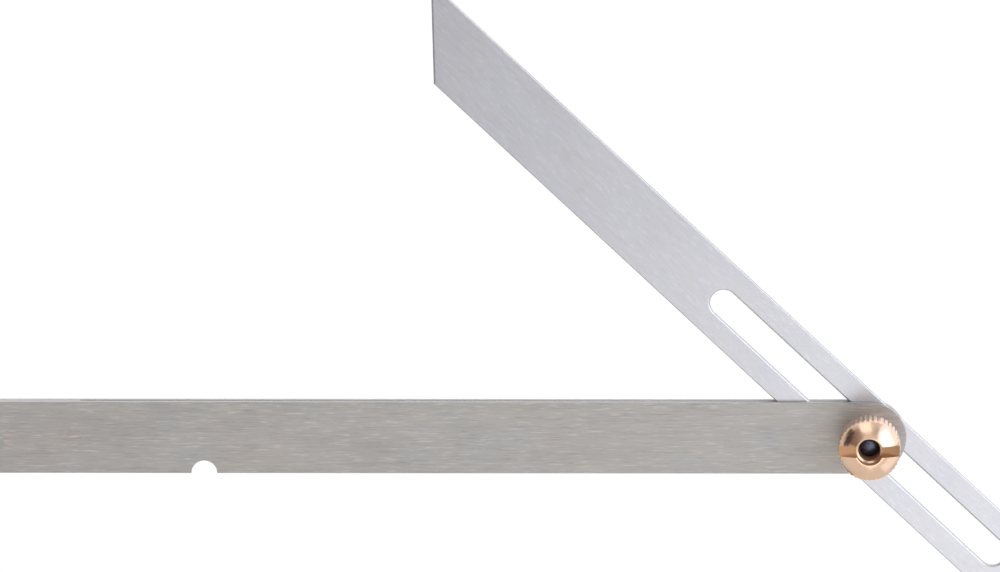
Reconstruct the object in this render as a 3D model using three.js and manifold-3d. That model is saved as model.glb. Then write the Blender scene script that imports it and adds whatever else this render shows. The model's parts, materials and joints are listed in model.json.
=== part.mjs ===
// Sliding bevel with a 200 mm blade, for carrying an angle from one piece of work to another.
// The stock lies along X with its tail towards -X and its back face on the plane z = 0.
// The origin is on the pivot axis at the back face. The lock nut stands on the +Z side.
// The blade leaves the stock up and to the left, and its tip is cut at 45 degrees.

import * as THREE from 'three';
import { mergeVertices } from 'three/addons/utils/BufferGeometryUtils.js';
import Module from 'manifold-3d';

const wasm = await Module();
wasm.setup();

// Driving dimensions in millimetres

// Stock: two thin cheeks, with the blade's channel between them
const stockWidth = 17;
const stockTailReach = 213.5;
const cheekThickness = 1;
const cheekChamfer = 0.2;
const tailCornerRadius = 2;
const channelPlay = 0.1;

// Nail notch in the lower edge, for pushing the folded blade out
const notchReach = 154.5;
const notchRadius = 3;

// Tail spacer: its length on the upper edge, up to the slant that faces the folded blade's tip
const spacerUpperLength = 30.3;

// Tail rivets, spread into countersinks and ground flush, and how far in from the tail they are
const rivetInnerInset = 28.8;
const rivetOuterInset = 14.1;
const rivetShankDiameter = 3;
const rivetFaceDiameter = 3.9;
const rivetFlareDepth = 0.4;
const rivetPlay = 0.05;

// Blade
const bladeLength = 200;
const bladeWidth = 17;
const bladeThickness = 1;
const bladeTipAngle = 45;
const slotWidth = 6.25;
const slotSpan = 86.2;
const slotEndMargin = 12.4;
const bladeRestAngle = 43.7;
const bladeRestTravel = 46.5;
const bladeSideShift = 0.26;

// Clamp screw with a flush head, and the bush that the slot rides on
const screwDiameter = 4.9;
const screwStandAboveFace = 8.2;
const screwHeadDiameter = 9.5;
const screwHeadFlats = 8.2;
const screwHeadPlay = 0.05;
const screwEndDomeHeight = 0.75;
const screwEndChamfer = 0.3;
const screwHolePlay = 0.15;
const bushSlotPlay = 0.275;
const bushScrewPlay = 0.05;

// Flat washer under the nut
const washerDiameter = 10;
const washerThickness = 1;
const washerChamfer = 0.15;

// Lock nut: neck, knurled rim, dome with a coin slot, and a recess for the screw's end
const nutDiameter = 14.5;
const nutNeckDiameter = 9.4;
const nutNeckHeight = 4.8;
const nutRimLand = 0.15;
const nutRimHeight = 5.85;
const nutRimChamfer = 0.35;
const nutDomeHeight = 1.8;
const nutMouthDiameter = 6.2;
const nutRecessDiameter = 5.4;
const nutRecessDepth = 7;
const nutLipDepth = 0.4;
const nutThreadPlay = 0.1;
const coinSlotWidth = 2.6;
const coinSlotDepth = 1.7;
const knurlDepth = 0.22;

// How far a cut runs past the faces that it opens
const overrun = 1;

// Counts and shares
const knurlTeeth = 40;
const knurlStepsPerTooth = 6;
const knurlSharpnessShare = 0.7;
const roundSteps = 72;
const smallRoundSteps = 48;
const cornerSteps = 6;
const arcSteps = 8;

// Levels and places that follow from the sizes
const channelHeight = bladeThickness + 2 * channelPlay;
const frontInner = cheekThickness + channelHeight;
const frontFace = frontInner + cheekThickness;
const bladeBottom = cheekThickness + channelPlay;
const halfStock = stockWidth / 2;
const halfBlade = bladeWidth / 2;
const screwRadius = screwDiameter / 2;
const tipSlope = Math.tan(THREE.MathUtils.degToRad(bladeTipAngle));
const slotTipEnd = bladeRestTravel;
const slotButtEnd = slotTipEnd - slotSpan;
const bladeButt = slotButtEnd - slotEndMargin;
const bladeTip = bladeButt + bladeLength;
const spacerUpperReach = stockTailReach - spacerUpperLength;
const spacerLowerReach = spacerUpperReach - stockWidth / tipSlope;
const rivetInnerReach = stockTailReach - rivetInnerInset;
const rivetOuterReach = stockTailReach - rivetOuterInset;

// Colours and surface values
const stainless = { color: 0xa9a6a1, roughness: 0.42, metalness: 1 };
const bladeSteel = { color: 0xc6c6cb, roughness: 0.34, metalness: 1 };
const rivetSteel = { color: 0xb3afa8, roughness: 0.38, metalness: 1 };
const plainSteel = { color: 0x9a9894, roughness: 0.45, metalness: 1 };
const blackScrew = { color: 0x23232a, roughness: 0.4, metalness: 0.7 };
const turnedBrass = { color: 0xd0a276, roughness: 0.26, metalness: 1 };

// Points of an arc, from one angle to the other, both ends included
function arc(x, y, radius, from, to, steps) {
  return Array.from({ length: steps + 1 }, (_, i) => {
    const angle = from + (to - from) * i / steps;
    return new THREE.Vector2(x + radius * Math.cos(angle), y + radius * Math.sin(angle));
  });
}

// Points of a full circle round the Z axis
function circle(radius, steps) {
  return arc(0, 0, radius, 0, 2 * Math.PI, steps).slice(0, -1);
}

// A closed solid through outlines that have the same number of points, lowest level first
function loft(levels) {
  const count = levels[0].outline.length;
  const positions = levels.flatMap(({ z, outline }) => outline.flatMap((p) => [p.x, p.y, z]));
  const faces = [];
  for (let level = 0; level < levels.length - 1; level++) {
    for (let i = 0; i < count; i++) {
      const a = level * count + i;
      const b = level * count + (i + 1) % count;
      faces.push(a, b, b + count, a, b + count, a + count);
    }
  }
  const lid = (levels.length - 1) * count;
  THREE.ShapeUtils.triangulateShape(levels[0].outline, []).forEach(([a, b, c]) => faces.push(c, b, a));
  THREE.ShapeUtils.triangulateShape(levels.at(-1).outline, []).forEach(([a, b, c]) => {
    faces.push(lid + a, lid + b, lid + c);
  });
  const geometry = new THREE.BufferGeometry();
  geometry.setAttribute('position', new THREE.Float32BufferAttribute(positions, 3));
  geometry.setIndex(faces);
  return geometry;
}

// An upright prism with one outline
function prism(outline, bottom, top) {
  return loft([{ z: bottom, outline }, { z: top, outline }]);
}

// A solid of revolution round the Z axis, from [radius, height] pairs listed from the bottom up
function revolve(profile, steps) {
  const points = profile.map(([radius, height]) => new THREE.Vector2(radius, height));
  return new THREE.LatheGeometry(points, steps).rotateX(Math.PI / 2);
}

// A round bar on the Z axis
function bar(radius, bottom, top, steps) {
  return revolve([[0, bottom], [radius, bottom], [radius, top], [0, top]], steps);
}

// An upright block centred on the Z axis
function block(lengthX, lengthY, bottom, top) {
  const height = top - bottom;
  return new THREE.BoxGeometry(lengthX, lengthY, height).translate(0, 0, bottom + height / 2);
}

// Turns a closed three.js geometry into a solid that can be joined and cut
function solid(geometry) {
  geometry.deleteAttribute('normal');
  geometry.deleteAttribute('uv');
  const merged = mergeVertices(geometry);
  return new wasm.Manifold(new wasm.Mesh({
    numProp: 3,
    vertProperties: merged.attributes.position.array,
    triVerts: new Uint32Array(merged.index.array),
  }));
}

// Turns a finished solid back into a three.js geometry
function geometryOf(body) {
  const mesh = body.getMesh();
  const geometry = new THREE.BufferGeometry();
  geometry.setAttribute('position', new THREE.BufferAttribute(mesh.vertProperties, 3));
  geometry.setIndex(new THREE.BufferAttribute(mesh.triVerts, 1));
  geometry.computeVertexNormals();
  return geometry;
}

function piece(name, body, look) {
  const mesh = new THREE.Mesh(geometryOf(body), new THREE.MeshStandardMaterial(look));
  mesh.name = name;
  return mesh;
}

// The stock's outline: a half round at the pivot, and a square tail with eased corners
function stockOutline(inset) {
  const right = Math.PI / 2;
  const tailX = tailCornerRadius - stockTailReach;
  const cornerY = halfStock - tailCornerRadius;
  const cornerRadius = tailCornerRadius - inset;
  return [
    ...arc(0, 0, halfStock - inset, -right, right, roundSteps / 2),
    ...arc(tailX, cornerY, cornerRadius, right, 2 * right, cornerSteps),
    ...arc(tailX, -cornerY, cornerRadius, 2 * right, 3 * right, cornerSteps),
  ];
}

// The hole for a rivet through the whole stock, countersunk at both faces
function rivetHole(reach, play) {
  const shank = rivetShankDiameter / 2 + play;
  const face = rivetFaceDiameter / 2 + play;
  return solid(revolve([
    [0, -overrun], [face, -overrun], [face, 0], [shank, rivetFlareDepth],
    [shank, frontFace - rivetFlareDepth], [face, frontFace], [face, frontFace + overrun], [0, frontFace + overrun],
  ], smallRoundSteps)).translate([-reach, 0, 0]);
}

// The rivet fills its hole and is ground flush with both faces
function tailRivet(reach) {
  return rivetHole(reach, 0).intersect(solid(prism(stockOutline(0), 0, frontFace)));
}

// Cuts what is drilled or filed through both cheeks and the spacer
function cutStock(body) {
  const notch = solid(bar(notchRadius, -overrun, frontFace + overrun, smallRoundSteps))
    .translate([-notchReach, -halfStock, 0]);
  return body
    .subtract(notch)
    .subtract(rivetHole(rivetInnerReach, rivetPlay))
    .subtract(rivetHole(rivetOuterReach, rivetPlay));
}

function frontCheek() {
  const plate = solid(loft([
    { z: frontInner, outline: stockOutline(0) },
    { z: frontFace - cheekChamfer, outline: stockOutline(0) },
    { z: frontFace, outline: stockOutline(cheekChamfer) },
  ]));
  const hole = solid(bar(screwRadius + screwHolePlay, frontInner - overrun, frontFace + overrun, smallRoundSteps));
  return cutStock(plate.subtract(hole));
}

function backCheek() {
  const plate = solid(loft([
    { z: 0, outline: stockOutline(cheekChamfer) },
    { z: cheekChamfer, outline: stockOutline(0) },
    { z: cheekThickness, outline: stockOutline(0) },
  ]));
  return cutStock(plate.subtract(screwHead(screwHeadPlay, overrun)));
}

// The spacer fills the channel at the tail, up to a slant that matches the folded blade's tip
function tailSpacer() {
  const past = halfStock + overrun;
  const lean = overrun / tipSlope;
  const slant = [
    new THREE.Vector2(-spacerUpperReach - lean, past),
    new THREE.Vector2(-stockTailReach - overrun, past),
    new THREE.Vector2(-stockTailReach - overrun, -past),
    new THREE.Vector2(-spacerLowerReach + lean, -past),
  ];
  const tail = solid(prism(stockOutline(0), cheekThickness, frontInner));
  return cutStock(tail.intersect(solid(prism(slant, cheekThickness - overrun, frontInner + overrun))));
}

// The blade in its own frame: the pivot at the origin and the tip along +X.
// It lies over to one side, with its slot's wall against the bush.
function bladeBody() {
  const right = Math.PI / 2;
  const outline = [
    new THREE.Vector2(bladeTip, -halfBlade),
    new THREE.Vector2(bladeTip - bladeWidth / tipSlope, halfBlade),
    ...arc(bladeButt + halfBlade, 0, halfBlade, right, 3 * right, roundSteps / 2),
  ];
  const slot = [
    ...arc(slotTipEnd, 0, slotWidth / 2, -right, right, smallRoundSteps / 2),
    ...arc(slotButtEnd, 0, slotWidth / 2, right, 3 * right, smallRoundSteps / 2),
  ];
  const top = bladeBottom + bladeThickness;
  return solid(prism(outline, bladeBottom, top))
    .subtract(solid(prism(slot, bladeBottom - overrun, top + overrun)))
    .translate([0, bladeSideShift, 0]);
}

// The screw's flush head, a short cone with two flats, or its seat when grown by the play
function screwHead(grow, past) {
  const face = screwHeadDiameter / 2 + grow;
  const neck = face - cheekThickness;
  const cone = solid(revolve([
    [0, -past], [face + past, -past], [neck - past, cheekThickness + past], [0, cheekThickness + past],
  ], smallRoundSteps));
  return cone.intersect(solid(block(2 * (face + past), screwHeadFlats + 2 * grow, -past, cheekThickness + past)));
}

function clampScrew() {
  const top = frontFace + screwStandAboveFace;
  const shoulder = top - screwEndDomeHeight;
  const domeFoot = screwRadius - screwEndChamfer;
  const dome = Array.from({ length: arcSteps + 1 }, (_, i) => {
    const angle = Math.PI / 2 * i / arcSteps;
    return [domeFoot * Math.cos(angle), shoulder + screwEndDomeHeight * Math.sin(angle)];
  });
  dome[arcSteps][0] = 0;
  const shank = solid(revolve([
    [0, 0], [screwRadius, 0], [screwRadius, shoulder - screwEndChamfer], ...dome,
  ], smallRoundSteps));
  return shank.add(screwHead(0, 0));
}

function slotBush() {
  const top = bladeBottom + bladeThickness;
  const outer = solid(bar(slotWidth / 2 - bushSlotPlay, bladeBottom, top, smallRoundSteps));
  const bore = bar(screwRadius + bushScrewPlay, bladeBottom - overrun, top + overrun, smallRoundSteps);
  return outer.subtract(solid(bore));
}

function flatWasher() {
  const outer = washerDiameter / 2;
  const top = frontFace + washerThickness;
  const disc = solid(revolve([
    [0, frontFace], [outer - washerChamfer, frontFace], [outer, frontFace + washerChamfer],
    [outer, top - washerChamfer], [outer - washerChamfer, top], [0, top],
  ], smallRoundSteps));
  const hole = bar(screwRadius + screwHolePlay, frontFace - overrun, top + overrun, smallRoundSteps);
  return disc.subtract(solid(hole));
}

// The knurl's outline: rounded teeth with straight grooves between them
function knurlOutline() {
  const steps = knurlTeeth * knurlStepsPerTooth;
  return circle(1, steps).map((p, i) => {
    const wave = 0.5 - 0.5 * Math.cos(2 * Math.PI * i / knurlStepsPerTooth);
    return p.multiplyScalar(nutDiameter / 2 - knurlDepth * wave ** knurlSharpnessShare);
  });
}

function lockNut() {
  const foot = frontFace + washerThickness;
  const rimFoot = foot + nutNeckHeight;
  const rimTop = rimFoot + nutRimHeight;
  const mouth = rimTop + nutDomeHeight;
  const outer = nutDiameter / 2;
  const neck = nutNeckDiameter / 2;
  const mouthRadius = nutMouthDiameter / 2;
  const recess = nutRecessDiameter / 2;

  // The dome is part of a ball centred on the axis, through the rim's edge and the mouth's edge
  const ballCentre = (mouth ** 2 + mouthRadius ** 2 - rimTop ** 2 - outer ** 2) / (2 * nutDomeHeight);
  const ballRadius = Math.hypot(mouthRadius, mouth - ballCentre);
  const domeStart = Math.atan2(rimTop - ballCentre, outer);
  const domeEnd = Math.atan2(mouth - ballCentre, mouthRadius);
  const dome = arc(0, ballCentre, ballRadius, domeStart, domeEnd, arcSteps).map((p) => [p.x, p.y]);

  // The neck flares out like a trumpet, up to a narrow flat land at the rim's chamfer
  const neckFlare = outer - nutRimChamfer - nutRimLand - neck;
  const trumpet = arc(neck + neckFlare, rimFoot - neckFlare, neckFlare, Math.PI, Math.PI / 2, arcSteps);
  const shell = solid(revolve([
    [0, foot], [neck, foot], ...trumpet.map((p) => [p.x, p.y]),
    [outer - nutRimChamfer, rimFoot], [outer, rimFoot + nutRimChamfer],
    ...dome, [0, mouth],
  ], roundSteps));
  const knurled = solid(prism(knurlOutline(), foot, mouth + overrun));

  // The recess has a rounded lip, and the thread's bore runs on below its floor
  const flare = mouthRadius - recess;
  const lip = Array.from({ length: cornerSteps + 1 }, (_, i) => {
    const angle = Math.PI / 2 * i / cornerSteps;
    return [recess + flare * (1 - Math.cos(angle)), mouth - nutLipDepth * (1 - Math.sin(angle))];
  });
  const hollow = solid(revolve([
    [0, mouth - nutRecessDepth], [recess, mouth - nutRecessDepth], ...lip,
    [mouthRadius, mouth + overrun], [0, mouth + overrun],
  ], smallRoundSteps));
  const bore = solid(bar(screwRadius + nutThreadPlay, foot - overrun, mouth, smallRoundSteps));
  const coinSlot = solid(block(nutDiameter + 2 * overrun, coinSlotWidth, mouth - coinSlotDepth, mouth + overrun));
  return shell.intersect(knurled).subtract(hollow).subtract(bore).subtract(coinSlot);
}

// The assembly, with the blade and its bush turned to the rest angle
const bevel = new THREE.Group();
bevel.add(piece('front_cheek', frontCheek(), stainless));
bevel.add(piece('back_cheek', backCheek(), stainless));
bevel.add(piece('tail_spacer', tailSpacer(), stainless));
bevel.add(piece('tail_rivet_inner', tailRivet(rivetInnerReach), rivetSteel));
bevel.add(piece('tail_rivet_outer', tailRivet(rivetOuterReach), rivetSteel));
bevel.add(piece('clamp_screw', clampScrew(), blackScrew));
bevel.add(piece('flat_washer', flatWasher(), plainSteel));
bevel.add(piece('lock_nut', lockNut(), turnedBrass));

const bladeGroup = new THREE.Group();
bladeGroup.rotation.z = Math.PI - THREE.MathUtils.degToRad(bladeRestAngle);
bladeGroup.add(piece('blade', bladeBody(), bladeSteel));
bladeGroup.add(piece('slot_bush', slotBush(), plainSteel));
bevel.add(bladeGroup);

export default bevel;
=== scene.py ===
import json
import math

import bmesh
import bpy
from mathutils import Matrix, Vector


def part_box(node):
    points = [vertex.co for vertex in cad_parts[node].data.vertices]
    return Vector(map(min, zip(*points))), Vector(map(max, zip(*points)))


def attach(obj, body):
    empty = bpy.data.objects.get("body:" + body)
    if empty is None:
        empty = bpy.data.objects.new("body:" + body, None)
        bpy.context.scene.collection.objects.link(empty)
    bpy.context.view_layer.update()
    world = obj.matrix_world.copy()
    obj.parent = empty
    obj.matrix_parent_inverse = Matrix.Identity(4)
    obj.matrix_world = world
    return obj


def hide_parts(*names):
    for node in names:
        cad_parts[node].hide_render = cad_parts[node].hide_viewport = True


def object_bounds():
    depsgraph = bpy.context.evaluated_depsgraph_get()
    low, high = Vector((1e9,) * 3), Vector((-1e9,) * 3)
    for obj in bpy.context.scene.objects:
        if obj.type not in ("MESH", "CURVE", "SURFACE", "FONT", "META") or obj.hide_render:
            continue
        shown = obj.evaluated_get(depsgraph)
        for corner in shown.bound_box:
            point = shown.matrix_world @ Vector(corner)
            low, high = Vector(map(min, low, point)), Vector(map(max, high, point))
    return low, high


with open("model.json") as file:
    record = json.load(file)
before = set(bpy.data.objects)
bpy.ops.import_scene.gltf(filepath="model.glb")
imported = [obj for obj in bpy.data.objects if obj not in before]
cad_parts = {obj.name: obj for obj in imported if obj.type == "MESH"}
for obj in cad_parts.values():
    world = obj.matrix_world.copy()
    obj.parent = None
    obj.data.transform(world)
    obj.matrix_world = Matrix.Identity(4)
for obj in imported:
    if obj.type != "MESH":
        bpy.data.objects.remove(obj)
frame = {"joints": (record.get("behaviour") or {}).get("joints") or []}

bl_info = {
    "name": "Sliding bevel",
    "version": (1, 0, 0),
    "blender": (4, 5, 0),
    "location": "3D View > Sidebar > Bevel",
    "description": "Dresses the sliding bevel: brushed stock and blade, turned brass lock nut, studio",
    "category": "Object",
}

PACKED_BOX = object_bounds()

# Places that the frame gives
STOCK_LOW, STOCK_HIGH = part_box("front_cheek")
BACK_LOW, BACK_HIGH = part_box("back_cheek")
SPACER_LOW, SPACER_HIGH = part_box("tail_spacer")
BLADE_LOW, BLADE_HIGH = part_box("blade")
NUT_LOW, NUT_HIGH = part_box("lock_nut")
_, SCREW_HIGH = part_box("clamp_screw")
WASHER_LOW, WASHER_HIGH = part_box("flat_washer")
BUSH_LOW, BUSH_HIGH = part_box("slot_bush")
SLIDE = next(joint for joint in frame["joints"] if joint["name"] == "blade_slide")
BLADE_ANGLE = math.atan2(SLIDE["axis"][1], SLIDE["axis"][0])
BLADE_TRAVEL = -SLIDE["range_m"][0]

QUARTER_TURN = math.pi / 2.0
HALF_TURN = math.pi

# In radians: edges that turn by more than the first are shaded sharp, by more than the second eased
SHARP_ANGLE = math.radians(32.0)
CORNER_ANGLE = 1.0

# A face is level where its normal rises by more than the first, and a wall where by less than the second
LEVEL_NORMAL = 0.9999
WALL_NORMAL = 0.2

# Points closer than the first are one point, and the second is the play in a test of place, in metres
TOUCHING = 1e-7
CLOSE = 1e-6

# Steps round each kind of curve
ROUND_END_STEPS = 64
SLOT_END_STEPS = 32
TAIL_CORNER_STEPS = 10
NOTCH_STEPS = 28
CIRCLE_STEPS = 48
TURNED_STEPS = 96
SCREW_DOME_STEPS = 14
TRUMPET_STEPS = 16
RIM_EDGE_STEPS = 5
NUT_DOME_STEPS = 28
LIP_STEPS = 6
TOOTH_STEPS = 10
CUTTER_STEPS = 720

# Stretches of a noise that a finish works with: most of it, or the ends that make sparse marks
MOST = (0.3, 0.7)
PATCHES = (0.35, 0.65)
STAINS = (0.35, 0.7)
RUBBED = (0.3, 0.75)
LIGHT_DASHES = (0.6, 0.72)
DARK_DASHES = (0.28, 0.4)
SPECKS = (0.7, 0.76)

# The photograph's width in pixels, and a lens's sensor width in millimetres
PHOTO_WIDTH = 1000
SENSOR_WIDTH = 36.0


def length(name, description, default):
    """A size in metres that the sidebar shows with its unit."""
    return bpy.props.FloatProperty(
        name=name, description=description, default=default, min=0.0, precision=5, unit="LENGTH"
    )


def angle(name, description, degrees):
    """An angle that the sidebar shows in degrees."""
    return bpy.props.FloatProperty(
        name=name, description=description, default=math.radians(degrees), subtype="ANGLE"
    )


def colour(name, description, default):
    """A colour, as red, green and blue in linear light."""
    return bpy.props.FloatVectorProperty(
        name=name, description=description, default=default, size=3, min=0.0, max=1.0, subtype="COLOR"
    )


def factor(name, description, default):
    """A share from 0 to 1."""
    return bpy.props.FloatProperty(
        name=name, description=description, default=default, min=0.0, max=1.0, subtype="FACTOR"
    )


class StockSettings(bpy.types.PropertyGroup):
    """Sizes and colours of the cheeks, the spacer and the rivets."""

    edge_round: length("Edge round", "Radius of the eased outer edges of the cheeks", 0.00016)
    tail_corner: length("Tail corner", "Radius of the corners at the tail", 0.002)
    notch_reach: length("Notch reach", "Pivot axis to the middle of the nail notch", 0.1545)
    notch_radius: length("Notch radius", "Radius of the nail notch", 0.003)
    spacer_reach: length("Spacer reach", "Pivot axis to the spacer's inner end on the upper edge", 0.1832)
    inner_rivet: length("Inner rivet", "Pivot axis to the inner rivet", 0.1847)
    outer_rivet: length("Outer rivet", "Pivot axis to the outer rivet", 0.1994)
    rivet_radius: length("Rivet radius", "Radius of a rivet's ground face", 0.00193)
    rivet_gap: length("Rivet gap", "Hairline round a rivet's ground face", 0.00001)
    steel: colour("Steel", "Brushed stainless of the stock", (0.403, 0.383, 0.363))
    # The ground walls' colour is lighter than the faces: partly their ground finish, partly a painted
    # highlight of the bright floor
    edge_steel_with_highlight: colour("Edge steel with highlight", "Ground outer walls of the stock", (0.50, 0.488, 0.495))
    # The inner faces' colour is lighter than the outer steel: a matt finish, and painted light that lifts
    # the shaded channel between the cheeks
    inside_steel_painted_light: colour("Inside steel with painted light", "Matt inner faces beside the channel", (0.6, 0.59, 0.58))
    rivet_steel: colour("Rivet steel", "Rivets, a little warmer and brighter", (0.425, 0.382, 0.352))


class BladeSettings(bpy.types.PropertyGroup):
    """Sizes and colours of the blade."""

    edge_round: length("Edge round", "Radius of the eased long edges", 0.00024)
    slot_round: length("Slot round", "Radius of the slot's eased upper edges", 0.00045)
    lower_round: length("Lower round", "Radius of all the blade's lower edges", 0.00024)
    width: length("Width", "Width of the blade", 0.017)
    length: length("Length", "Length along the longer edge", 0.2)
    slot_width: length("Slot width", "Width of the slot", 0.00625)
    slot_span: length("Slot span", "Distance between the centres of the slot's ends", 0.0862)
    slot_margin: length("Slot margin", "Centre of the slot's lower end to the blade's round end", 0.0124)
    side_shift: length("Side shift", "How far the blade lies over against the bush", 0.00026)
    tip_angle: angle("Tip angle", "Angle between the tip's edge and the long edges", 45.0)
    tip_bevel: length("Tip bevel", "Width of the bevel ground along the tip's edge", 0.0004)
    tip_bevel_tilt: angle("Tip bevel tilt", "How far that bevel leans from the blade's face", 38.0)
    steel: colour("Steel", "Satin stainless of the blade", (0.523, 0.521, 0.552))


class NutSettings(bpy.types.PropertyGroup):
    """Sizes and colours of the lock nut, the screw and the washer."""

    neck_radius: length("Neck radius", "Radius of the neck under the rim", 0.0047)
    neck_height: length("Neck height", "Height of the neck", 0.0048)
    rim_land: length("Rim land", "Flat between the neck's flare and the rim's rounded edge", 0.0002)
    rim_height: length("Rim height", "Height of the knurled rim", 0.00585)
    rim_round: length("Rim round", "Radius of the rim's lower edge", 0.0003)
    mouth_radius: length("Mouth radius", "Radius of the recess at the top of its lip", 0.00325)
    throat_radius: length("Throat radius", "Radius of the recess above the coin slot's floor", 0.00305)
    recess_radius: length("Recess radius", "Radius of the recess below that", 0.0026)
    shelf_drop: length("Shelf drop", "Fall of the conical shelf between the two", 0.0002)
    recess_depth: length("Recess depth", "Depth of the recess", 0.007)
    lip_depth: length("Lip depth", "Height of the recess's rounded lip", 0.0003)
    bore_play: length("Bore play", "Gap between the nut's bore and the screw", 0.000044)
    knurl_teeth: bpy.props.IntProperty(
        name="Knurl teeth", description="Number of teeth round the rim", default=40, min=3
    )
    knurl_depth: length("Knurl depth", "Depth of the knurl's grooves", 0.00022)
    coin_slot_width: length("Coin slot width", "Width of the slot across the dome", 0.0026)
    coin_slot_depth: length("Coin slot depth", "Depth of the slot below the mouth", 0.002)
    coin_slot_cutter: length("Coin slot cutter", "Radius of the disc that cut the slot", 0.07)
    screw_radius: length("Screw radius", "Radius of the screw's end", 0.00245)
    screw_gap: length("Screw gap", "Gap between the screw and the plain holes that it passes", 0.00016)
    thread_pitch: length("Thread pitch", "Pitch of the screw's thread", 0.0008)
    brass: colour("Brass", "Turned brass with a copper tone", (0.80, 0.55, 0.39))
    # The slot floor's colour is darker than the brass: partly the duller milled finish, partly painted
    # shade in the slot
    milled_brass_and_shade: colour("Milled brass and shade", "Duller floor of the coin slot", (0.4, 0.22, 0.115))
    # The recess's two colours are darker than the brass: partly the bored and faced finishes, partly
    # painted shade in the hollow
    bored_brass_and_shade: colour("Bored brass and shade", "Dull wall of the recess and the bore", (0.46, 0.27, 0.16))
    faced_brass_and_shade: colour("Faced brass and shade", "Brass of the shelf in the recess", (0.62, 0.41, 0.27))
    oxide: colour("Black oxide", "Black finish of the screw", (0.075, 0.077, 0.1))
    washer_steel: colour("Washer steel", "Washer and bush", (0.30, 0.29, 0.28))


class StudioSettings(bpy.types.PropertyGroup):
    """The camera's place and the light."""

    target_x: bpy.props.FloatProperty(
        name="Target X", description="Point that the camera looks at", default=-0.08565, unit="LENGTH"
    )
    target_y: bpy.props.FloatProperty(
        name="Target Y", description="Point that the camera looks at", default=0.03552, unit="LENGTH"
    )
    distance: length("Distance", "Camera to target", 4.0)
    yaw: angle("Yaw", "Camera's swing to the right of the stock's normal", 1.324)
    tilt: angle("Tilt", "Camera's lean towards the blade's tip", 13.849)
    roll: angle("Roll", "Camera's turn about its own axis", -0.273)
    focal_pixels: bpy.props.FloatProperty(
        name="Focal length", description="In pixels of the photograph's frame", default=17253.8
    )
    sky_strength: bpy.props.FloatProperty(
        name="Sky strength", description="Brightness of the white studio", default=0.85
    )
    table_white: factor("Table white", "Share of the light that the table gives back", 0.9)
    table_glow: factor("Table glow", "Light that comes through the table from below", 0.3)
    floor: colour("Floor", "Plain pale floor", (1.0, 1.0, 1.0))
    floor_glow: bpy.props.FloatProperty(
        name="Floor glow", description="Brightness of the floor, just over white", default=1.02
    )
    floor_gap: length("Floor gap", "Drop from the stock's back to the floor", 0.0005)
    table_gap: length("Table gap", "Drop from the stock's back to the table", 0.0004)


# Tracing outlines and turning them into solid pieces

def start(bm, x, y):
    return bm.verts.new((x, y, 0.0))


def line_to(bm, vert, x, y):
    end = bmesh.ops.extrude_vert_indiv(bm, verts=[vert])["verts"][0]
    bmesh.ops.translate(bm, verts=[end], vec=Vector((x, y, 0.0)) - end.co)
    return end


def arc_to(bm, vert, x, y, turn, steps):
    """Goes on from vert round the point x, y, by turn radians."""
    made = bmesh.ops.spin(
        bm, geom=[vert], cent=(x, y, 0.0), axis=(0.0, 0.0, 1.0), angle=turn, steps=steps,
        use_duplicate=False,
    )
    return next(item for item in made["geom_last"] if isinstance(item, bmesh.types.BMVert))


def circle(bm, x, y, radius):
    bmesh.ops.create_circle(
        bm, cap_ends=False, radius=radius, segments=CIRCLE_STEPS, matrix=Matrix.Translation((x, y, 0.0))
    )


def close_and_fill(bm):
    """Joins the ends of the traced loops and fills between the outer loop and the holes."""
    bmesh.ops.remove_doubles(bm, verts=bm.verts[:], dist=TOUCHING)
    bmesh.ops.triangle_fill(bm, use_beauty=True, edges=bm.edges[:], normal=(0.0, 0.0, 1.0))


def raise_plate(bm, bottom, top):
    """Gives the filled outline its thickness."""
    bmesh.ops.translate(bm, verts=bm.verts[:], vec=(0.0, 0.0, bottom))
    made = bmesh.ops.extrude_face_region(bm, geom=bm.faces[:], use_keep_orig=True)
    lid = [item for item in made["geom"] if isinstance(item, bmesh.types.BMVert)]
    bmesh.ops.translate(bm, verts=lid, vec=(0.0, 0.0, top - bottom))
    bmesh.ops.recalc_face_normals(bm, faces=bm.faces[:])


def ease_edges(bm, radius, level, segments=3, chosen=None):
    """Rounds the edges between the flat face at the given height and the walls.

    chosen tells from a vertex's place whether its edge is one of them.
    """
    corners = [
        edge for edge in bm.edges
        if len(edge.link_faces) == 2 and edge.calc_face_angle() > CORNER_ANGLE
        and all(abs(vert.co.z - level) < TOUCHING for vert in edge.verts)
        and (chosen is None or all(chosen(vert.co) for vert in edge.verts))
    ]
    bmesh.ops.bevel(
        bm, geom=corners, offset=radius, offset_type="OFFSET", segments=segments, profile=0.5,
        affect="EDGES", clamp_overlap=True, material=-1,
    )


def revolved(bm, points, steps):
    """Spins a closed profile of (radius, height) points round the pivot axis."""
    first = bm.verts.new((points[0][0], 0.0, points[0][1]))
    vert = first
    for radius, height in points[1:]:
        vert = bmesh.ops.extrude_vert_indiv(bm, verts=[vert])["verts"][0]
        bmesh.ops.translate(bm, verts=[vert], vec=Vector((radius, 0.0, height)) - vert.co)
    bmesh.ops.contextual_create(bm, geom=[first, vert])
    bmesh.ops.spin(
        bm, geom=bm.verts[:] + bm.edges[:], cent=(0.0, 0.0, 0.0), axis=(0.0, 0.0, 1.0),
        angle=2.0 * math.pi, steps=steps, use_merge=True, use_duplicate=False,
    )
    bmesh.ops.remove_doubles(bm, verts=bm.verts[:], dist=TOUCHING)
    bmesh.ops.recalc_face_normals(bm, faces=bm.faces[:])


def curve_points(x, z, radius_x, radius_z, start_angle, end_angle, steps):
    """Points of an elliptic arc in a profile, both ends included."""
    angles = [start_angle + (end_angle - start_angle) * i / steps for i in range(steps + 1)]
    return [(x + radius_x * math.cos(a), z + radius_z * math.sin(a)) for a in angles]


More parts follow.
